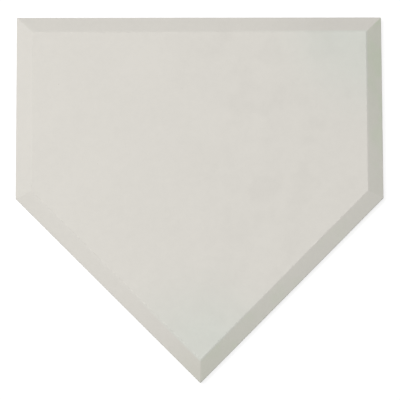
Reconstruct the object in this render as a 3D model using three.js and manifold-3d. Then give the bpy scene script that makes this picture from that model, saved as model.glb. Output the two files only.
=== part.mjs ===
// A five-sided home plate: a moulded white rubber cap, filled from below by a plywood board.
// The cap's bottom lip wraps under the board's stepped edge, and screws with wide washers clamp the lip
// to the board from below, sunk in moulded pockets so that the plate lies flat.
// Millimetres, +Z up, +Y towards the straight front edge, origin under the middle of the plate.
import * as THREE from 'three';
import { ConvexGeometry } from 'three/addons/geometries/ConvexGeometry.js';
import { mergeVertices } from 'three/addons/utils/BufferGeometryUtils.js';
import Module from 'manifold-3d';

// Outline of the plate, seen from above: straight front edge, two sides, and the point at the back
const plateWidth = 431.8;
const plateDepth = 431.8;
const sideLength = 215.9;

// Rubber cap
const bevelRun = 19.05;
const bevelDrop = 9.5;
const rimWidth = 19.05;
const skinThickness = 7.1;
const lipWidth = 25.4;
const lipWeb = 3;

// Plywood board
const boardThickness = 18.3;
const boardClearance = 0.5;

// Low-head wood screws, three along the front edge and two along each of the others
const screwsPerEdge = [3, 2, 2, 2, 2];
const headDiameter = 11;
const headHeight = 2.4;
const headRimHeight = 0.7;
const headRecess = 0.7;
const shankDiameter = 4.8;
const shankClearance = 0.3;
const tipLength = 4;
const tipCover = 2;
const driveSpan = 5.2;
const driveSlot = 1.2;
const driveDepth = 1.5;

// Wide flat washers under the screw heads
const washerDiameter = 19.05;
const washerThickness = 1.2;
const washerClearance = 0.5;

// Facets round each hole, washer and screw, and along each screw head's dome
const roundSides = 20;
const domeSteps = 4;

// A cutting shape runs this far past the face that it opens
const cutOverrun = 1;

// Heights above the ground, worked out from the pieces' thicknesses
const plateThickness = boardThickness + skinThickness;
const wallHeight = plateThickness - bevelDrop;
const headSeat = headRecess + headHeight;
const pocketDepth = headSeat + washerThickness;
const lipThickness = pocketDepth + lipWeb;
const screwTip = boardThickness - tipCover;

const wasm = await Module();
wasm.setup();

// A three.js geometry as a solid that can be joined and cut
function solidOf(geometry) {
  const bare = geometry.clone();
  bare.deleteAttribute('normal');
  bare.deleteAttribute('uv');
  const merged = mergeVertices(bare);
  const corners = merged.index.array;
  const triangles = [];
  for (let i = 0; i < corners.length; i += 3) {
    const [a, b, c] = corners.slice(i, i + 3);
    // Slivers on a lathe's axis have two corners alike once the vertices are merged
    if (a !== b && b !== c && c !== a) triangles.push(a, b, c);
  }
  return new wasm.Manifold(new wasm.Mesh({
    numProp: 3,
    vertProperties: Float32Array.from(merged.attributes.position.array),
    triVerts: Uint32Array.from(triangles),
  }));
}

// A finished solid as a three.js geometry
function geometryOf(solid) {
  const mesh = solid.getMesh();
  const geometry = new THREE.BufferGeometry();
  geometry.setAttribute('position', new THREE.BufferAttribute(mesh.vertProperties, 3));
  geometry.setIndex(new THREE.BufferAttribute(mesh.triVerts, 1));
  geometry.computeVertexNormals();
  return geometry;
}

// The plate's five corners, with every edge moved inwards by the same distance
function outline(inset) {
  const front = plateDepth / 2;
  const corners = [
    new THREE.Vector2(plateWidth / 2, front),
    new THREE.Vector2(-plateWidth / 2, front),
    new THREE.Vector2(-plateWidth / 2, front - sideLength),
    new THREE.Vector2(0, front - plateDepth),
    new THREE.Vector2(plateWidth / 2, front - sideLength),
  ];
  const inwards = corners.map((corner, i) => {
    const along = corners[(i + 1) % corners.length].clone().sub(corner).normalize();
    return new THREE.Vector2(-along.y, along.x);
  });
  return corners.map((corner, i) => {
    const before = inwards[(i + corners.length - 1) % corners.length];
    const after = inwards[i];
    const mitre = before.clone().add(after).multiplyScalar(inset / (1 + before.dot(after)));
    return corner.clone().add(mitre);
  });
}

// The same five corners as points at one height
function ring(inset, height) {
  return outline(inset).map((corner) => new THREE.Vector3(corner.x, corner.y, height));
}

// A five-sided slab between two heights
function slab(inset, bottom, top) {
  const options = { depth: top - bottom, bevelEnabled: false };
  const geometry = new THREE.ExtrudeGeometry(new THREE.Shape(outline(inset)), options);
  return solidOf(geometry.translate(0, 0, bottom));
}

// An upright round plug between two heights, at a spot on the plate
function plug(diameter, bottom, top, spot) {
  const geometry = new THREE.CylinderGeometry(diameter / 2, diameter / 2, top - bottom, roundSides);
  geometry.rotateX(Math.PI / 2);
  return solidOf(geometry.translate(spot.x, spot.y, (bottom + top) / 2));
}

// A profile of (radius, height) points turned about the vertical axis
function turned(profile) {
  return new THREE.LatheGeometry(profile, roundSides).rotateX(Math.PI / 2);
}

// The screws' places, evenly spaced along the middle of the lip on each edge
function screwSpots() {
  const corners = outline(rimWidth + lipWidth / 2);
  return corners.flatMap((corner, edge) => {
    const next = corners[(edge + 1) % corners.length];
    const count = screwsPerEdge[edge];
    return Array.from({ length: count }, (_, i) => corner.clone().lerp(next, (i + 0.5) / count));
  });
}

// Rubber cap: bevelled block, hollowed for the board, with a window in its lip and a stepped hole at each screw
function rubberCap(spots) {
  const block = new ConvexGeometry([
    ...ring(0, 0),
    ...ring(0, wallHeight),
    ...ring(bevelRun, plateThickness),
  ]);
  const cavity = slab(rimWidth, lipThickness, boardThickness);
  const window = slab(rimWidth + lipWidth, -cutOverrun, lipThickness + cutOverrun);
  let cap = solidOf(block).subtract(cavity).subtract(window);
  for (const spot of spots) {
    const pocket = plug(washerDiameter + 2 * washerClearance, -cutOverrun, pocketDepth, spot);
    const hole = plug(shankDiameter + 2 * shankClearance, 0, lipThickness + cutOverrun, spot);
    cap = cap.subtract(pocket).subtract(hole);
  }
  return geometryOf(cap);
}

// Plywood board: its edge is stepped to sit over the lip, so that the underside is level with the rubber
function plywoodBoard(spots) {
  const upper = slab(rimWidth + boardClearance, lipThickness, boardThickness);
  const lower = slab(rimWidth + lipWidth + boardClearance, 0, lipThickness + cutOverrun);
  let board = upper.add(lower);
  for (const spot of spots) {
    const pilotDiameter = shankDiameter + 2 * shankClearance;
    const pilot = plug(pilotDiameter, lipThickness - cutOverrun, screwTip + shankClearance, spot);
    board = board.subtract(pilot);
  }
  return geometryOf(board);
}

// Washer: a flat ring between the pocket's floor and the screw's head
function flatWasher() {
  const inner = shankDiameter / 2 + shankClearance;
  const outer = washerDiameter / 2;
  return turned([
    new THREE.Vector2(inner, headSeat),
    new THREE.Vector2(outer, headSeat),
    new THREE.Vector2(outer, pocketDepth),
    new THREE.Vector2(inner, pocketDepth),
    new THREE.Vector2(inner, headSeat),
  ]);
}

// The outline of the cross-shaped drive in a screw's head
function driveCross() {
  const far = driveSpan / 2;
  const near = driveSlot / 2;
  const arm = [[far, -near], [far, near], [near, near]];
  const points = [0, 1, 2, 3].flatMap((quarter) => arm.map(([x, y]) => (
    new THREE.Vector2(x, y).rotateAround(new THREE.Vector2(), (quarter * Math.PI) / 2)
  )));
  return new THREE.Shape(points);
}

// Screw: domed head downwards, plain shank and a pointed tip, with the drive cut into the dome
function lipScrew() {
  const rim = headDiameter / 2;
  const shank = shankDiameter / 2;
  const domeHeight = headHeight - headRimHeight;
  const profile = [];
  for (let step = 0; step <= domeSteps; step += 1) {
    const turn = (step / domeSteps) * (Math.PI / 2);
    const height = headRecess + domeHeight * (1 - Math.cos(turn));
    profile.push(new THREE.Vector2(rim * Math.sin(turn), height));
  }
  profile.push(new THREE.Vector2(rim, headSeat));
  profile.push(new THREE.Vector2(shank, headSeat));
  profile.push(new THREE.Vector2(shank, screwTip - tipLength));
  profile.push(new THREE.Vector2(0, screwTip));
  const options = { depth: driveDepth + cutOverrun, bevelEnabled: false };
  const drive = new THREE.ExtrudeGeometry(driveCross(), options);
  drive.translate(0, 0, headRecess - cutOverrun);
  return geometryOf(solidOf(turned(profile)).subtract(solidOf(drive)));
}

const rubberWhite = { color: 0xdcd9d2, roughness: 0.7, metalness: 0 };
const birchPly = { color: 0xc9a877, roughness: 0.75, metalness: 0 };
const zincSteel = { color: 0xb9bcc0, roughness: 0.4, metalness: 1 };

const plate = new THREE.Group();

// Each piece has a mesh and a material of its own
function addPiece(name, geometry, finish, spot = new THREE.Vector2()) {
  const mesh = new THREE.Mesh(geometry, new THREE.MeshStandardMaterial({ ...finish, flatShading: true }));
  mesh.name = name;
  mesh.position.set(spot.x, spot.y, 0);
  plate.add(mesh);
}

const spots = screwSpots();
addPiece('rubber_cap', rubberCap(spots), rubberWhite);
addPiece('plywood_board', plywoodBoard(spots), birchPly);

const washer = flatWasher();
const screw = lipScrew();
spots.forEach((spot, i) => {
  const number = String(i + 1).padStart(2, '0');
  addPiece(`washer_${number}`, washer, zincSteel, spot);
  addPiece(`screw_${number}`, screw, zincSteel, spot);
});

export default plate;
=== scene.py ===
import math

import bmesh
import bpy
from mathutils import Euler, Matrix, Vector, noise


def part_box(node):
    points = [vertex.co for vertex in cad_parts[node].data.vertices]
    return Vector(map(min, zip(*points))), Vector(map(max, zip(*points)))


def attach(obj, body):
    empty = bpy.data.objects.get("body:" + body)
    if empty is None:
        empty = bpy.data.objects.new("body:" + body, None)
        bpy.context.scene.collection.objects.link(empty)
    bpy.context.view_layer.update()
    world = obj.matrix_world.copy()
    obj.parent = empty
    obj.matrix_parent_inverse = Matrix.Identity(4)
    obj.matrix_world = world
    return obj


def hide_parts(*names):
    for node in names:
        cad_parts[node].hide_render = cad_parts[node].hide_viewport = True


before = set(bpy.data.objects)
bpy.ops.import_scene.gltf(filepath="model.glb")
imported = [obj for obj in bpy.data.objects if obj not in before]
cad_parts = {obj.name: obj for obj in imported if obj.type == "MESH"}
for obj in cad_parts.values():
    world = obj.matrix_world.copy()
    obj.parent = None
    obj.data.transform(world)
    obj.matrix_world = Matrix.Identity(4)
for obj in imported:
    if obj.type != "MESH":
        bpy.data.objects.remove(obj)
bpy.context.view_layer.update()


# The view: a long lens almost straight above the plate, a little towards its point and to its left.
# Place, turn and lens are fitted to the corners of the plate and of its bevel in the photograph.
camera_place = (-0.0268, -0.2739, 2.3472)
camera_turn_degrees = (6.656, -0.641, -0.207)
photo_width_pixels = 400
focal_length_pixels = 2000
sensor_millimetres = 36

camera = bpy.data.objects.new("camera", bpy.data.cameras.new("camera"))
camera.data.sensor_width = sensor_millimetres
camera.data.lens = sensor_millimetres * focal_length_pixels / photo_width_pixels
camera.location = camera_place
camera.rotation_euler = Euler([math.radians(turn) for turn in camera_turn_degrees])
bpy.context.scene.collection.objects.link(camera)
bpy.context.scene.camera = camera


# The plywood board fills the plate from below and keeps the rubber flat.
# It is sawn to five sides from seven-ply sheet, sanded, and its edge is stepped on a router so that the
# underside lies level with the rubber lip; a pilot hole is drilled up into the step for every screw.
plate_low, plate_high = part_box("rubber_cap")
board_low, board_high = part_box("plywood_board")
washer_low, washer_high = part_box("washer_01")
screw_low, screw_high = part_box("screw_01")
screw_nodes = sorted(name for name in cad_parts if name.startswith("screw_"))
lip_width = 0.0254
lip_web = 0.003
lip_top = washer_high.z + lip_web
board_inset = board_low.x - plate_low.x
sawn_corner = 0.0006
eased_edge = 0.0005
face_margin = 0.004
pilot_radius = 0.0027
pilot_mouth = 0.0003
pilot_spare = 0.0003
bit_overrun = 0.001
hole_sides = 48
ply_count = 7
veneer_pale = (0.63, 0.45, 0.275)
veneer_tan = (0.6, 0.415, 0.24)
veneer_warm = (0.53, 0.34, 0.175)
veneer_late = (0.34, 0.175, 0.075)
veneer_end = (0.3, 0.17, 0.08)
veneer_ramp = ((0.05, veneer_pale), (0.48, veneer_tan), (0.68, veneer_warm), (0.84, veneer_late))

# The arches of the growth rings on a peeled veneer, and how far their lines drift and fray
ring_spacing = 0.0105
arch_centre = (-0.1, -0.045, -0.09)
arch_stretch = (10, 1, 1)
drift_reach = (0.03, 0.04, 0.02)
fray_reach = (0, 0.007, 0.007)

# Length along the grain and width across it of each kind of mark in the wood
drift_mark = (0.25, 0.07)
fray_mark = (0.045, 0.0024)
fibre_mark = (0.033, 0.0009)
streak_mark = (0.2, 0.0053)
pore_mark = (0.0066, 0.00034)
heart_mark = (0.33, 0.083)
fibre_depth = 0.0002

# How much each mark tells in the wood's colour, gloss and relief, and the levels of its noise at which it
# begins to show and shows in full
ring_share = 0.78
heart_share = 0.12
heart_levels = (0.4, 0.65)
fibre_share = 0.22
pore_share = 0.4
pore_levels = (0.62, 0.7)
end_grain_share = 0.8
end_grain_levels = (0.45, 0.55)
flat_face_levels = (0.5, 0.8)
wood_gloss = 0.35
wood_roughness = 0.72
fibre_polish = 0.18
fibre_strength = 0.25
ring_relief = 0.06


def outline(inset):
    """The plate's five corners, anticlockwise from the front right, with every edge moved in by inset.
    The two edges at the back meet in a right angle at the point."""
    half = (plate_high.x - plate_low.x) / 2
    front, point = plate_high.y, plate_low.y
    corners = [
        Vector((half, front)),
        Vector((-half, front)),
        Vector((-half, point + half)),
        Vector((0, point)),
        Vector((half, point + half)),
    ]
    moved = []
    for i, corner in enumerate(corners):
        along = (corner - corners[i - 1]).normalized()
        onward = (corners[(i + 1) % len(corners)] - corner).normalized()
        before = Vector((-along.y, along.x))
        after = Vector((-onward.y, onward.x))
        moved.append(corner + (before + after) * inset / (1 + before.dot(after)))
    return moved


def ring(inset, height, corner_radius, edge_steps=60, corner_steps=5):
    """Points round the plate at one inset and height, with rounded corners."""
    pivots = outline(inset + corner_radius)
    arcs = []
    for i, pivot in enumerate(pivots):
        along = pivot - pivots[i - 1]
        onward = pivots[(i + 1) % len(pivots)] - pivot
        start = math.atan2(-along.x, along.y)
        turn = along.angle_signed(onward)
        arc = []
        for step in range(corner_steps + 1):
            angle = start - turn * step / corner_steps
            arc.append(pivot + corner_radius * Vector((math.cos(angle), math.sin(angle))))
        arcs.append(arc)
    points = []
    for i, arc in enumerate(arcs):
        points += arc
        far = arcs[(i + 1) % len(arcs)][0]
        points += [arc[-1].lerp(far, step / edge_steps) for step in range(1, edge_steps)]
    return [Vector((p.x, p.y, height)) for p in points]


def rounded(profile, arc_steps=5, guard=0.0003, longest=0.004):
    """A line through (inset, height, radius) corners, as (inset, height) points. A corner with a radius
    becomes an arc, every corner has a guard point close by on either side, and no straight stretch is
    longer than the longest."""
    corners = [Vector(corner[:2]) for corner in profile]
    reaches = [0] * len(corners)
    for i in range(1, len(corners) - 1):
        half_angle = (corners[i - 1] - corners[i]).angle(corners[i + 1] - corners[i]) / 2
        reaches[i] = profile[i][2] / math.tan(half_angle)
    line = [corners[0]]
    for i in range(1, len(corners) - 1):
        back = corners[i - 1] - corners[i]
        ahead = corners[i + 1] - corners[i]
        guard_back = min(guard, (back.length - reaches[i - 1] - reaches[i]) / 3)
        guard_ahead = min(guard, (ahead.length - reaches[i] - reaches[i + 1]) / 3)
        back.normalize()
        ahead.normalize()
        start = corners[i] + back * reaches[i]
        end = corners[i] + ahead * reaches[i]
        arc = [corners[i]]
        if reaches[i]:
            centre = corners[i] + (back + ahead).normalized() * math.hypot(reaches[i], profile[i][2])
            spoke = start - centre
            turn = -spoke.angle_signed(end - centre) / arc_steps
            arc = [centre + Matrix.Rotation(turn * step, 2) @ spoke for step in range(arc_steps + 1)]
        line += [start + back * guard_back, *arc, end + ahead * guard_ahead]
    line.append(corners[-1])
    filled = []
    for start, end in zip(line, line[1:]):
        parts = max(1, math.ceil((end - start).length / longest))
        filled += [start.lerp(end, part / parts) for part in range(parts)]
    return filled + [line[-1]]


def lofted(name, profile, corner_radius, face_rings, settle=lambda point: point):
    """A closed piece whose outer line runs round the plate: rings along the profile, with the flat faces
    inside the first and last ring filled by rings that shrink to the middle."""
    rings = [ring(p.x, p.y, corner_radius) for p in profile]
    middle = sum(rings[0], Vector()) / len(rings[0])
    shares = [1 - step / face_rings for step in range(1, face_rings)]

    def shrunk(points, share):
        centre = Vector((middle.x, middle.y, points[0].z))
        return [centre.lerp(point, share) for point in points]

    first = [shrunk(rings[0], share) for share in reversed(shares)]
    last = [shrunk(rings[-1], share) for share in shares]
    rings = first + rings + last
    mesh = bmesh.new()
    rows = [[mesh.verts.new(settle(point)) for point in points] for points in rings]
    for row, next_row in zip(rows, rows[1:]):
        for i in range(len(row)):
            mesh.faces.new((row[i - 1], row[i], next_row[i], next_row[i - 1]))
    for row, height in ((rows[0], rings[0][0].z), (rows[-1], rings[-1][0].z)):
        hub = mesh.verts.new(settle(Vector((middle.x, middle.y, height))))
        for i in range(len(row)):
            mesh.faces.new((row[i - 1], row[i], hub))
    bmesh.ops.recalc_face_normals(mesh, faces=mesh.faces)
    data = bpy.data.meshes.new(name)
    mesh.to_mesh(data)
    mesh.free()
    piece = bpy.data.objects.new(name, data)
    bpy.context.scene.collection.objects.link(piece)
    return piece


class Wire:
    """A node's output that takes part in arithmetic, and the way to add any other node to its tree."""

    def __init__(self, tree, socket=None):
        self.tree = tree
        self.socket = socket

    def node(self, kind, settings=None, sockets=None, result=0):
        """Adds a node: first its settings, then the values or wires of its sockets; gives one result."""
        made = self.tree.nodes.new(kind)
        for name, value in (settings or {}).items():
            if name == "stops":
                stops = made.color_ramp.elements
                while len(stops) < len(value):
                    stops.new(1)
                for stop, (place, colour) in zip(stops, value):
                    stop.position = place
                    stop.color = (*colour, 1)
            else:
                setattr(made, name, value)
        for name, value in (sockets or {}).items():
            target = next(s for s in made.inputs if name in (s.identifier, s.name))
            for part in value if isinstance(value, list) else [value]:
                if isinstance(part, Wire):
                    self.tree.links.new(part.socket, target)
                else:
                    target.default_value = part
        if isinstance(result, int):
            return Wire(self.tree, made.outputs[result])
        return Wire(self.tree, next(s for s in made.outputs if result in (s.identifier, s.name)))

    def into(self, node, name):
        self.tree.links.new(self.socket, node.inputs[name])

    def maths(self, operation, other=0, reflected=False):
        first, second = (other, self) if reflected else (self, other)
        return self.node("ShaderNodeMath", {"operation": operation}, {
            "Value": first, "Value_001": second,
        })

    def __add__(self, other):
        return self.maths("ADD", other)

    def __sub__(self, other):
        return self.maths("SUBTRACT", other)

    def __rsub__(self, other):
        return self.maths("SUBTRACT", other, reflected=True)

    def __mul__(self, other):
        return self.maths("MULTIPLY", other)

    def __truediv__(self, other):
        return self.maths("DIVIDE", other)

    def __lt__(self, other):
        return self.maths("LESS_THAN", other)

    __radd__ = __add__
    __rmul__ = __mul__

    def band(self, start, full):
        """0 up to the start, 1 from full on and smooth between; it falls where full is the lower."""
        return self.node("ShaderNodeMapRange", {"interpolation_type": "SMOOTHSTEP"}, {
            "Value": self, "From Min": start, "From Max": full,
        })

    def ramp(self, *stops):
        """The colour of this value on a ramp of (place, colour) stops."""
        return self.node("ShaderNodeValToRGB", {"stops": stops}, {"Fac": self}, "Color")

    def mixed(self, share, colour, blend="MIX"):
        """This colour, with that share of another mixed in."""
        other = colour if isinstance(colour, Wire) else (*colour, 1)
        return self.node("ShaderNodeMix", {"data_type": "RGBA", "blend_type": blend}, {
            "Factor_Float": share, "A_Color": self, "B_Color": other,
        }, "Result_Color")

    def axis(self, name):
        """One of X, Y and Z of this vector."""
        return self.node("ShaderNodeSeparateXYZ", {}, {"Vector": self}, name)


def new_finish(name, constants):
    """A material, its Principled shader with the constants set, and a wire of its object coordinates."""
    material = bpy.data.materials.new(name)
    material.use_nodes = True
    shader = material.node_tree.nodes["Principled BSDF"]
    for socket, value in constants.items():
        shader.inputs[socket].default_value = value
    place = Wire(material.node_tree).node("ShaderNodeTexCoord", result="Object")
    return material, shader, place


def grain(place, length, width=None, detail=2, result="Fac"):
    """Noise in marks of this length along X and this width across it, or of one size all round."""
    across = 1 / (width or length)
    spot = place.node("ShaderNodeMapping", {}, {"Vector": place, "Scale": (1 / length, across, across)})
    return spot.node("ShaderNodeTexNoise", {}, {"Vector": spot, "Scale": 1, "Detail": detail}, result)


def shifted(place, by, reach):
    """A place moved by a noise's colour, up to the reach along each axis."""
    return place.node("ShaderNodeVectorMath", {"operation": "MULTIPLY_ADD"}, {
        "Vector": by, "Vector_001": reach, "Vector_002": place,
    }, "Vector")


def roughened(shader, relief, depth, strength=1):
    """Gives a shader a small relief, as deep as the depth where it is 1."""
    relief.node("ShaderNodeBump", {}, {
        "Strength": strength, "Distance": depth, "Height": relief,
    }).into(shader, "Normal")


def node_tree(name, inputs):
    """A Geometry Nodes tree with the named inputs, and the wires of those inputs."""
    tree = bpy.data.node_groups.new(name, "GeometryNodeTree")
    tree.interface.new_socket("Geometry", in_out="OUTPUT", socket_type="NodeSocketGeometry")
    for socket, kind in {"Geometry": "Geometry", **inputs, "Finish": "Material"}.items():
        tree.interface.new_socket(socket, in_out="INPUT", socket_type="NodeSocket" + kind)
    entry = tree.nodes.new("NodeGroupInput")
    return tree, {socket.name: Wire(tree, socket) for socket in entry.outputs if socket.name}


def close_tree(shape, finish):
    """Ends a tree: its instances become real faces, in their material."""
    real = shape.node("GeometryNodeRealizeInstances", {}, {"Geometry": shape})
    dressed = real.node("GeometryNodeSetMaterial", {}, {"Geometry": real, "Material": finish})
    dressed.into(shape.tree.nodes.new("NodeGroupOutput"), "Geometry")


def grow(piece, tree, values):
    """Runs a tree on a piece and keeps the result as the piece's own plain mesh."""
    modifier = piece.modifiers.new(tree.name, "NODES")
    modifier.node_group = tree
    for item in tree.interface.items_tree:
        if item.in_out == "INPUT" and item.name in values:
            modifier[item.identifier] = values[item.name]
    graph = bpy.context.evaluated_depsgraph_get()
    mesh = bpy.data.meshes.new_from_object(piece.evaluated_get(graph))
    piece.modifiers.remove(modifier)
    piece.data = mesh


def smooth(piece, sharp_degrees):
    """Shades a piece smooth, with edges sharper than the angle kept crisp."""
    piece.data.shade_smooth()
    piece.data.set_sharp_from_angle(angle=math.radians(sharp_degrees))


def moved_up(shape, height):
    lift = shape.node("ShaderNodeCombineXYZ", {}, {"Z": height})
    return shape.node("GeometryNodeTransform", {}, {"Geometry": shape, "Translation": lift})


def joined(operation, first, others, shortest_edge=0.000002):
    """A solid cut by, or fused with, the others, without the hair-thin edges that a cut can leave."""
    solids = {"Mesh 2": [first, *others]}
    if operation == "DIFFERENCE":
        solids = {"Mesh 1": first, "Mesh 2": others}
    solid = first.node("GeometryNodeMeshBoolean", {"operation": operation, "solver": "EXACT"}, solids)
    return solid.node("GeometryNodeMergeByDistance", {}, {"Geometry": solid, "Distance": shortest_edge})


# One object holds the places of the screws, in the order of their numbers
spot_mesh = bpy.data.meshes.new("screw_spots")
spot_places = []
for name in screw_nodes:
    low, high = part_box(name)
    spot_places.append(((low.x + high.x) / 2, (low.y + high.y) / 2, 0))
spot_mesh.from_pydata(spot_places, [], [])
spot_holder = bpy.data.objects.new("screw_spots", spot_mesh)
bpy.context.scene.collection.objects.link(spot_holder)

# Round holes up into a face, one at every screw. A cone breaks the edge at the mouth: it stands half
# outside the face, so at the face it is one mouth wider than the hole all round
drilled, wires = node_tree("drilled_holes", {
    "Spots": "Object", "Radius": "Float", "Face": "Float", "Floor": "Float", "Mouth": "Float",
})
bit_length = wires["Floor"] - wires["Face"] + bit_overrun
bit = bit_length.node("GeometryNodeMeshCylinder", {}, {
    "Vertices": hole_sides, "Radius": wires["Radius"], "Depth": bit_length,
}, "Mesh")
bit = moved_up(bit, wires["Floor"] - bit_length / 2)
countersink = bit.node("GeometryNodeMeshCone", {}, {
    "Vertices": hole_sides,
    "Radius Bottom": wires["Radius"] + wires["Mouth"] * 2,
    "Radius Top": wires["Radius"],
    "Depth": wires["Mouth"] * 2,
}, "Mesh")
countersink = moved_up(countersink, wires["Face"] - wires["Mouth"])
cutter = joined("UNION", bit, [countersink])
spots = cutter.node("GeometryNodeObjectInfo", {}, {"Object": wires["Spots"]}, "Geometry")
cutters = spots.node("GeometryNodeInstanceOnPoints", {}, {"Points": spots, "Instance": cutter})
cutters = cutters.node("GeometryNodeRealizeInstances", {}, {"Geometry": cutters})
close_tree(joined("DIFFERENCE", wires["Geometry"], [cutters]), wires["Finish"])

# A wave texture of scale 1 repeats after this length
wave_length = math.pi / 10
plywood, wood_shader, place = new_finish("sanded_plywood", {"Specular IOR Level": wood_gloss})
drift = grain(place, *drift_mark, result="Color")
fray = grain(place, *fray_mark, detail=3, result="Color")
bent = shifted(shifted(place, drift, drift_reach), fray, fray_reach)
arches = bent.node("ShaderNodeMapping", {"vector_type": "TEXTURE"}, {
    "Vector": bent, "Location": arch_centre, "Scale": arch_stretch,
})
growth = arches.node("ShaderNodeTexWave", {
    "wave_type": "RINGS", "rings_direction": "SPHERICAL", "wave_profile": "SAW",
}, {
    "Vector": arches, "Scale": wave_length / ring_spacing,
    "Distortion": 1.6, "Detail": 3, "Detail Scale": 0.6,
}, "Fac")
fibre = grain(place, *fibre_mark, detail=3)
streak = grain(place, *streak_mark, detail=3)
pore = grain(place, *pore_mark, detail=1).band(*pore_levels)
heart = grain(place, *heart_mark).band(*heart_levels)
figure = growth * (ring_share + heart * heart_share) + (fibre + streak - 1) * fibre_share
face_colour = figure.ramp(*veneer_ramp).mixed(pore * pore_share, veneer_late)

# Every other ply shows its end grain at the board's edges
ply = place.axis("Z") / ((board_high.z - board_low.z) / ply_count)
end_grain = ply.maths("PINGPONG", 1).band(*end_grain_levels)
edge_colour = face_colour.mixed(end_grain * end_grain_share, veneer_end)
facing = place.node("ShaderNodeNewGeometry", result="Normal")
flat_face = facing.axis("Z").maths("ABSOLUTE").band(*flat_face_levels)
edge_colour.mixed(flat_face, face_colour).into(wood_shader, "Base Color")
(wood_roughness - fibre * fibre_polish).into(wood_shader, "Roughness")
roughened(wood_shader, fibre + growth * ring_relief, fibre_depth, fibre_strength)

board = lofted("plywood_core", rounded([
    (board_inset + lip_width + face_margin, board_low.z, 0),
    (board_inset + lip_width, board_low.z, eased_edge),
    (board_inset + lip_width, lip_top, eased_edge),
    (board_inset, lip_top, eased_edge),
    (board_inset, board_high.z, eased_edge),
    (board_inset + face_margin, board_high.z, 0),
], arc_steps=2), sawn_corner, face_rings=12)
grow(board, drilled, {
    "Spots": spot_holder, "Radius": pilot_radius, "Face": lip_top, "Floor": screw_high.z + pilot_spare,
    "Mouth": pilot_mouth, "Finish": plywood,
})
smooth(board, sharp_degrees=30)
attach(board, "root")
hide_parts("plywood_board")


# The rubber cap is the white plate itself: flat top, bevel on all five edges and a plain side wall.
# It is compression moulded in one piece of off-white rubber, with a lip that wraps under the board and a
# pocket for every washer; a flash line marks where the mould halves met, and the wall leans in below it.
bevel_run = 0.01905
bevel_drop = 0.0095
board_clearance = 0.0005
rim_width = board_inset - board_clearance
moulded_corner = 0.0009
crease_radius = 0.0013
brim_radius = 0.001
foot_radius = 0.0008
lip_edge_radius = 0.0006
inner_radius = 0.0005
wall_draft = 0.0006
flash_drop = 0.0016
flash_width = 0.0006
flash_proud = 0.00012
washer_clearance = 0.0005
pocket_mouth = 0.0006
sag_depth = 0.0001
sag_spacing = 0.09
wander = 0.00008
wander_spacing = 0.11
wander_seed = 5
rubber_white = (0.705, 0.681, 0.63)
rubber_shade = (0.685, 0.662, 0.613)
rubber_ramp = ((0.36, rubber_shade), (0.6, rubber_white))
speck_dark = (0.24, 0.23, 0.2)
# Colours multiplied into the rubber as painted shade. The first is also used for the faint scuffs on the
# face, the second is used at the point, the third is a greenish shade for the right-facing bevels, and
# the fourth is a greenish shade for the face
shade_and_scuff_grey = (0.94, 0.94, 0.94)
point_shade_tone = (0.905, 0.92, 0.89)
shaded_side_tint = (0.92, 1, 0.9)
falloff_haze_tint = (0.916, 0.98, 0.97)

# Sizes of the marks in the rubber's skin, from the broad clouds of its colour down to its finest grain
cloud_size = 0.0625
scuff_size = 0.036
mottle_size = 0.007
bloom_size = 0.0024
pebble_size = 0.0009
skin_size = 0.0004
pebble_depth = 0.0001
speck_spacing = 0.024
speck_radius = 0.00043
speck_share = 0.16

# How much each mark tells in the rubber's colour, gloss and relief
cloud_share = 0.4
mottle_share = 0.35
bloom_share = 0.25
speck_strength = 0.35
rubber_gloss = 0.4
rubber_roughness = 0.78
mottle_polish = 0.12
pebble_roughness = 0.12
skin_relief = 0.8
bloom_relief = 0.5

# Painted shade: the bevels are darkened a little all over, and more at the point and at the front right
# corner;
# the bevels facing right take a greenish painted shade, the left bevel at the point a deeper one, and the
# face a faint greenish one near the point and that corner; the face is also faintly scuffed from its
# middle to the right
painted_shade_core = 0.05
painted_shade_reach = 0.18
bevel_shade_even = 0.18
bevel_shade_gathered = 0.8
painted_shade_clouding = 0.4
point_shade_reach = 0.08
side_tint_even = 0.35
side_tint_gathered = 0.55
side_tint_thin = 0.6
side_tint_patchy = 1.2
falloff_haze_share = 0.7
scuff_start = -0.1
scuff_full = 0.07
scuff_share = 0.45
patch_levels = (0.46, 0.66)
slope_start = 0.0002
slope_full = 0.0014
rightward_lean = (0.1, 0.5)


def cells(place, size, result):
    """Scattered cells of one size: the distance from a cell's middle, or a colour of the cell's own."""
    return place.node("ShaderNodeTexVoronoi", {}, {"Vector": place, "Scale": 1 / size}, result)


rubber, rubber_shader, place = new_finish("white_moulded_rubber", {"Specular IOR Level": rubber_gloss})
cloud = grain(place, cloud_size, detail=3)
mottle = grain(place, mottle_size, detail=3)
bloom = grain(place, bloom_size)
pebble = grain(place, pebble_size)
skin = grain(place, skin_size)
tone = cloud * cloud_share + mottle * mottle_share + bloom * bloom_share
colour = tone.ramp(*rubber_ramp)
speck_distance = cells(place, speck_spacing, "Distance")
speck_lot = cells(place, speck_spacing, "Color").axis("X")
speck = (speck_distance < speck_radius / speck_spacing) * (speck_lot < speck_share)


def nearness(spot, reach, core=0):
    """1 within the core of a spot on the plate, and 0 out of its reach."""
    distance = place.node("ShaderNodeVectorMath", {"operation": "DISTANCE"}, {
        "Vector": place, "Vector_001": spot,
    }, "Value")
    return distance.band(reach, core)


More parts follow.
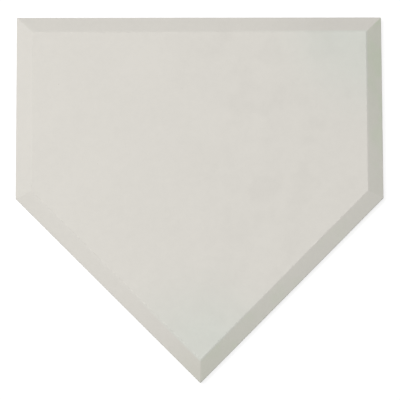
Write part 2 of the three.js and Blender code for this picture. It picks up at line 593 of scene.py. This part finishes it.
back_point = (0, plate_low.y, plate_high.z)
# Painted shade gathers near the point and the front right corner, clouded by the colour noise
near_painted_shade = nearness(back_point, painted_shade_reach, painted_shade_core) + nearness(plate_high, painted_shade_reach, painted_shade_core)
near_painted_shade = near_painted_shade * (1 - painted_shade_clouding / 2 + cloud * painted_shade_clouding)
slope = place.axis("Z").band(plate_high.z - slope_start, plate_high.z - slope_full)
face = 1 - slope
facing = place.node("ShaderNodeNewGeometry", result="True Normal")
rightward = facing.axis("X").band(*rightward_lean)
patches = grain(place, scuff_size, detail=5).band(*patch_levels)
scuff = patches * place.axis("X").band(scuff_start, scuff_full)
# Painted shade on all bevels, deeper near the point and the front right corner, plus faint scuffs on the
# face
painted_shade_and_scuffs = slope * (bevel_shade_even + near_painted_shade * bevel_shade_gathered) + face * scuff * scuff_share
# A greenish painted shade on the bevels that face right, away from the lamp, patchy and deeper near the
# point and the front right corner
painted_side_tint = slope * rightward * (side_tint_even + near_painted_shade * side_tint_gathered)
painted_side_tint = painted_side_tint * (side_tint_thin + patches * side_tint_patchy)
# A faint greenish painted shade on the face near the point and the front right corner
painted_falloff_haze = face * near_painted_shade * near_painted_shade * falloff_haze_share
# A deeper painted shade on the left bevel at the point
painted_point_shade = slope * nearness(back_point, point_shade_reach) * (1 - rightward)
colour = colour.mixed(painted_shade_and_scuffs, shade_and_scuff_grey, "MULTIPLY").mixed(painted_point_shade, point_shade_tone, "MULTIPLY")
colour = colour.mixed(painted_side_tint, shaded_side_tint, "MULTIPLY").mixed(painted_falloff_haze, falloff_haze_tint, "MULTIPLY")
colour.mixed(speck * speck_strength, speck_dark).into(rubber_shader, "Base Color")
dullness = rubber_roughness - mottle * mottle_polish + pebble * pebble_roughness
dullness.into(rubber_shader, "Roughness")
roughened(rubber_shader, pebble + skin * skin_relief + bloom * bloom_relief, pebble_depth)


def settled(point):
    """Moulded rubber is never quite true: its top sags and its edges wander by about 0.1 mm."""
    rise = (point.z - plate_low.z) / (plate_high.z - plate_low.z)
    sag = noise.noise(Vector((point.x, point.y, 0)) / sag_spacing) * sag_depth * rise
    aside = noise.noise_vector(point / wander_spacing) * wander
    return point + Vector((aside.x, aside.y, sag))


noise.seed_set(wander_seed)
brim_height = plate_high.z - bevel_drop
flash_height = brim_height - flash_drop
cap = lofted("rubber_plate", rounded([
    (bevel_run + face_margin, plate_high.z, 0),
    (bevel_run, plate_high.z, crease_radius),
    (0, brim_height, brim_radius),
    (0, flash_height + flash_width / 2, 0),
    (-flash_proud, flash_height, 0),
    (0, flash_height - flash_width / 2, 0),
    (wall_draft, plate_low.z, foot_radius),
    (rim_width + lip_width, plate_low.z, lip_edge_radius),
    (rim_width + lip_width, lip_top, inner_radius),
    (rim_width, lip_top, inner_radius),
    (rim_width, board_high.z, inner_radius),
    (rim_width + face_margin, board_high.z, 0),
]), moulded_corner, face_rings=26, settle=settled)
pocket_radius = (washer_high.x - washer_low.x) / 2 + washer_clearance
grow(cap, drilled, {
    "Spots": spot_holder, "Radius": pocket_radius, "Face": plate_low.z, "Floor": washer_high.z,
    "Mouth": pocket_mouth, "Finish": rubber,
})
grow(cap, drilled, {
    "Spots": spot_holder, "Radius": pilot_radius, "Face": washer_high.z, "Floor": lip_top + bit_overrun,
    "Mouth": pilot_mouth, "Finish": rubber,
})
smooth(cap, sharp_degrees=30)
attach(cap, "root")
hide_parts("rubber_cap")


# Wide washers sit in the lip's pockets and spread the pull of the screws over the soft rubber.
# They are stamped from zinc-plated steel sheet, so their edges are slightly rolled.
washer_nodes = sorted(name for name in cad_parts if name.startswith("washer_"))
washer_bore_radius = 0.0027
rolled_edge = 0.00018
roll_steps = 3
washer_sides = 64
zinc_pale = (0.56, 0.58, 0.61)
zinc_dull = (0.36, 0.375, 0.4)
zinc_ramp = ((0.3, zinc_dull), (0.62, zinc_pale))
zinc_roughness = 0.3
spangle_size = 0.0011
spangle_share = 0.35
spangle_roughness = 0.06
tarnish_size = 0.0038
tarnish_share = 0.65
tarnish_roughness = 0.2
scratch_mark = (0.0002, 0.0029)
scratch_depth = 0.00003
scratch_strength = 0.2

zinc, zinc_shader, place = new_finish("zinc_plate", {"Metallic": 1})
spangle = cells(place, spangle_size, "Color").axis("X")
tarnish = grain(place, tarnish_size, detail=3)
scratch = grain(place, *scratch_mark)
shine = spangle * spangle_share + tarnish * tarnish_share
shine.ramp(*zinc_ramp).into(zinc_shader, "Base Color")
dullness = zinc_roughness + tarnish * tarnish_roughness + spangle * spangle_roughness
dullness.into(zinc_shader, "Roughness")
roughened(zinc_shader, scratch, scratch_depth, scratch_strength)

stamped, wires = node_tree("stamped_washers", {
    "Outer radius": "Float", "Bore radius": "Float", "Thickness": "Float", "Edge radius": "Float",
    "Seat": "Float",
})
path = wires["Seat"].node("GeometryNodeCurvePrimitiveCircle", {"mode": "RADIUS"}, {
    "Resolution": washer_sides, "Radius": (wires["Outer radius"] + wires["Bore radius"]) / 2,
}, "Curve")
section = path.node("GeometryNodeCurvePrimitiveQuadrilateral", {"mode": "RECTANGLE"}, {
    "Width": wires["Outer radius"] - wires["Bore radius"], "Height": wires["Thickness"],
}, "Curve")
section = section.node("GeometryNodeFilletCurve", {"mode": "POLY"}, {
    "Curve": section, "Radius": wires["Edge radius"], "Count": roll_steps,
})
disc = path.node("GeometryNodeCurveToMesh", {}, {"Curve": path, "Profile Curve": section})
disc = moved_up(disc, wires["Seat"] + wires["Thickness"] / 2)
discs = disc.node("GeometryNodeInstanceOnPoints", {}, {"Points": wires["Geometry"], "Instance": disc})
close_tree(discs, wires["Finish"])

washers = bpy.data.objects.new("lip_washers", spot_mesh.copy())
bpy.context.scene.collection.objects.link(washers)
grow(washers, stamped, {
    "Outer radius": (washer_high.x - washer_low.x) / 2, "Bore radius": washer_bore_radius,
    "Thickness": washer_high.z - washer_low.z, "Edge radius": rolled_edge, "Seat": washer_low.z,
    "Finish": zinc,
})
smooth(washers, sharp_degrees=40)
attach(washers, "root")
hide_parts(*washer_nodes)


# Low-headed wood screws clamp the lip to the board through the washers. They are cold headed and thread
# rolled from zinc-plated steel wire, with a cross drive in the domed head, and each was left at its own
# angle when it was driven home.
head_rim = 0.0007
head_sides = 48
dome_rings = 10
core_radius = 0.0017
thread_radius = 0.0024
thread_pitch = 0.0019
thread_width = 0.00076
plain_length = 0.003
tip_length = 0.004
tip_radius = 0.0001
shank_sides = 28
shank_rows = 96
drive_span = 0.0052
drive_slot = 0.0012
drive_depth = 0.0015
drive_seed = 7
quarter_turn = math.pi / 2

driven, wires = node_tree("driven_screws", {
    "Head radius": "Float", "Head base": "Float", "Head seat": "Float", "Head rim": "Float",
    "Core radius": "Float", "Thread radius": "Float", "Thread pitch": "Float", "Thread width": "Float",
    "Thread start": "Float", "Tip": "Float", "Tip length": "Float", "Tip radius": "Float",
    "Drive span": "Float", "Drive slot": "Float", "Drive depth": "Float", "Seed": "Int",
})
base, seat, rim = wires["Head base"], wires["Head seat"], wires["Head rim"]
tip, core = wires["Tip"], wires["Core radius"]
point = seat.node("GeometryNodeInputPosition")
x, y, z = [point.axis(name) for name in "XYZ"]

# The head is a disc whose lower face swells into a dome
head = seat.node("GeometryNodeMeshCylinder", {"fill_type": "TRIANGLE_FAN"}, {
    "Vertices": head_sides, "Fill Segments": dome_rings, "Radius": wires["Head radius"], "Depth": rim,
}, "Mesh")
inside = 1 - (x * x + y * y) / (wires["Head radius"] * wires["Head radius"])
swell = inside.maths("MAXIMUM", 0).maths("POWER", 0.5) * (base - seat + rim)
dome = swell.node("ShaderNodeCombineXYZ", {}, {"Z": swell})
head = head.node("GeometryNodeSetPosition", {}, {
    "Geometry": head, "Selection": z < 0, "Offset": dome,
})
head = moved_up(head, seat - rim / 2)

# The shank is a rod that tapers to the tip, with the thread raised along a helix
rod_length = tip - seat + rim / 2
shank = seat.node("GeometryNodeMeshCylinder", {"fill_type": "TRIANGLE_FAN"}, {
    "Vertices": shank_sides, "Side Segments": shank_rows, "Radius": core, "Depth": rod_length,
}, "Mesh")
shank = moved_up(shank, tip - rod_length / 2)
turns = (z - wires["Thread start"]) / wires["Thread pitch"]
lead = turns - y.maths("ARCTAN2", x) / (2 * math.pi)
flank = (lead.maths("PINGPONG", 0.5) * 2 - 1) * wires["Thread pitch"] / wires["Thread width"] + 1
crest = flank.maths("MAXIMUM", 0) * turns.band(0, 1)
narrowing = ((tip - z) / wires["Tip length"]).maths("MINIMUM", 1)
narrowing = narrowing.maths("MAXIMUM", wires["Tip radius"] / core)
spread = (1 + crest * (wires["Thread radius"] / core - 1)) * narrowing
threaded = spread.node("ShaderNodeCombineXYZ", {}, {"X": x * spread, "Y": y * spread, "Z": z})
shank = shank.node("GeometryNodeSetPosition", {}, {"Geometry": shank, "Position": threaded})


def block(length, width, bottom, top):
    size = bottom.node("ShaderNodeCombineXYZ", {}, {"X": length, "Y": width, "Z": top - bottom})
    cube = bottom.node("GeometryNodeMeshCube", {}, {"Size": size}, "Mesh")
    return moved_up(cube, (top + bottom) / 2)


# The drive is two crossed slots, punched up into the dome
drive_top = base + wires["Drive depth"]
slot_along = block(wires["Drive span"], wires["Drive slot"], base - rim, drive_top)
slot_across = block(wires["Drive slot"], wires["Drive span"], base - rim, drive_top)
cross = joined("UNION", slot_along, [slot_across])
screw = joined("DIFFERENCE", joined("UNION", head, [shank]), [cross])
spin = seat.node("FunctionNodeRandomValue", {"data_type": "FLOAT"}, {
    "Max_001": quarter_turn, "Seed": wires["Seed"],
}, "Value_001")
spin = spin.node("ShaderNodeCombineXYZ", {}, {"Z": spin})
screws = screw.node("GeometryNodeInstanceOnPoints", {}, {
    "Points": wires["Geometry"], "Instance": screw, "Rotation": spin,
})
close_tree(screws, wires["Finish"])

screws = bpy.data.objects.new("lip_screws", spot_mesh.copy())
bpy.context.scene.collection.objects.link(screws)
grow(screws, driven, {
    "Head radius": (screw_high.x - screw_low.x) / 2, "Head base": screw_low.z,
    "Head seat": washer_low.z, "Head rim": head_rim, "Core radius": core_radius,
    "Thread radius": thread_radius, "Thread pitch": thread_pitch, "Thread width": thread_width,
    "Thread start": washer_low.z + plain_length, "Tip": screw_high.z, "Tip length": tip_length,
    "Tip radius": tip_radius, "Drive span": drive_span, "Drive slot": drive_slot,
    "Drive depth": drive_depth, "Seed": drive_seed, "Finish": zinc,
})
smooth(screws, sharp_degrees=40)
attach(screws, "root")
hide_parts(*screw_nodes)
bpy.data.objects.remove(spot_holder)


# The studio: a wide white floor under one large soft lamp up to the plate's left, with a dim even fill.
# The camera sees floor and surround as white, and the floor still takes the plate's shadow.
floor_half = 6
floor_drop = 0.0002
floor_bounce = (0.88, 0.88, 0.88, 1)
floor_catch = (0.2, 0.2, 0.2, 1)
floor_glow = 0.86
fade_start = 0.7
fade_end = 1.6
plain_white = (1, 1, 1, 1)
lamp_direction = Vector((-0.26, 0.05, 1)).normalized()
lamp_distance = 5
lamp_size = 1.75
lamp_power = 247.5
fill_strength = 0.03

floor_mesh = bpy.data.meshes.new("floor")
floor_mesh.from_pydata([
    (-floor_half, -floor_half, -floor_drop), (floor_half, -floor_half, -floor_drop),
    (floor_half, floor_half, -floor_drop), (-floor_half, floor_half, -floor_drop),
], [], [(0, 1, 2, 3)])
floor = bpy.data.objects.new("floor", floor_mesh)
bpy.context.scene.collection.objects.link(floor)


def seen(tree):
    """1 for rays that show the background: from the camera, in a mirror or through glass."""
    camera_ray, glossy_ray, clear_ray = [
        Wire(tree).node("ShaderNodeLightPath", result=result)
        for result in ("Is Camera Ray", "Is Glossy Ray", "Is Transmission Ray")
    ]
    return camera_ray.maths("MAXIMUM", glossy_ray).maths("MAXIMUM", clear_ray)


# Near the plate the floor glows a little short of white and the lamp adds the rest, so a shadow shows;
# further out it fades to even white
paper = bpy.data.materials.new("floor_paper")
paper.use_nodes = True
paper.node_tree.nodes.clear()
shown = seen(paper.node_tree)
bounce = shown.node("ShaderNodeBsdfDiffuse", {}, {"Color": floor_bounce})
glow = shown.node("ShaderNodeEmission", {}, {"Color": plain_white, "Strength": floor_glow})
catch = shown.node("ShaderNodeBsdfDiffuse", {}, {"Color": floor_catch})
near = shown.node("ShaderNodeAddShader", {}, {"Shader": glow, "Shader_001": catch})
far = shown.node("ShaderNodeEmission", {}, {"Color": plain_white, "Strength": 1})
spot = shown.node("ShaderNodeTexCoord", result="Object")
distance = spot.node("ShaderNodeVectorMath", {"operation": "LENGTH"}, {"Vector": spot}, "Value")
fade = distance.band(fade_start, fade_end)
white = shown.node("ShaderNodeMixShader", {}, {"Fac": fade, "Shader": near, "Shader_001": far})
surface = shown.node("ShaderNodeMixShader", {}, {"Fac": shown, "Shader": bounce, "Shader_001": white})
surface.into(paper.node_tree.nodes.new("ShaderNodeOutputMaterial"), "Surface")
floor_mesh.materials.append(paper)

world = bpy.data.worlds.new("surround")
world.use_nodes = True
world.node_tree.nodes.clear()
strength = seen(world.node_tree) * (1 - fill_strength) + fill_strength
sky = strength.node("ShaderNodeBackground", {}, {"Color": plain_white, "Strength": strength})
sky.into(world.node_tree.nodes.new("ShaderNodeOutputWorld"), "Surface")
bpy.context.scene.world = world

lamp = bpy.data.objects.new("softbox", bpy.data.lights.new("softbox", "AREA"))
lamp.data.shape = "SQUARE"
lamp.data.size = lamp_size
lamp.data.energy = lamp_power
lamp.location = lamp_direction * lamp_distance
lamp.rotation_euler = lamp_direction.to_track_quat("Z", "Y").to_euler()
bpy.context.scene.collection.objects.link(lamp)

bpy.context.scene.view_settings.view_transform = "Standard"
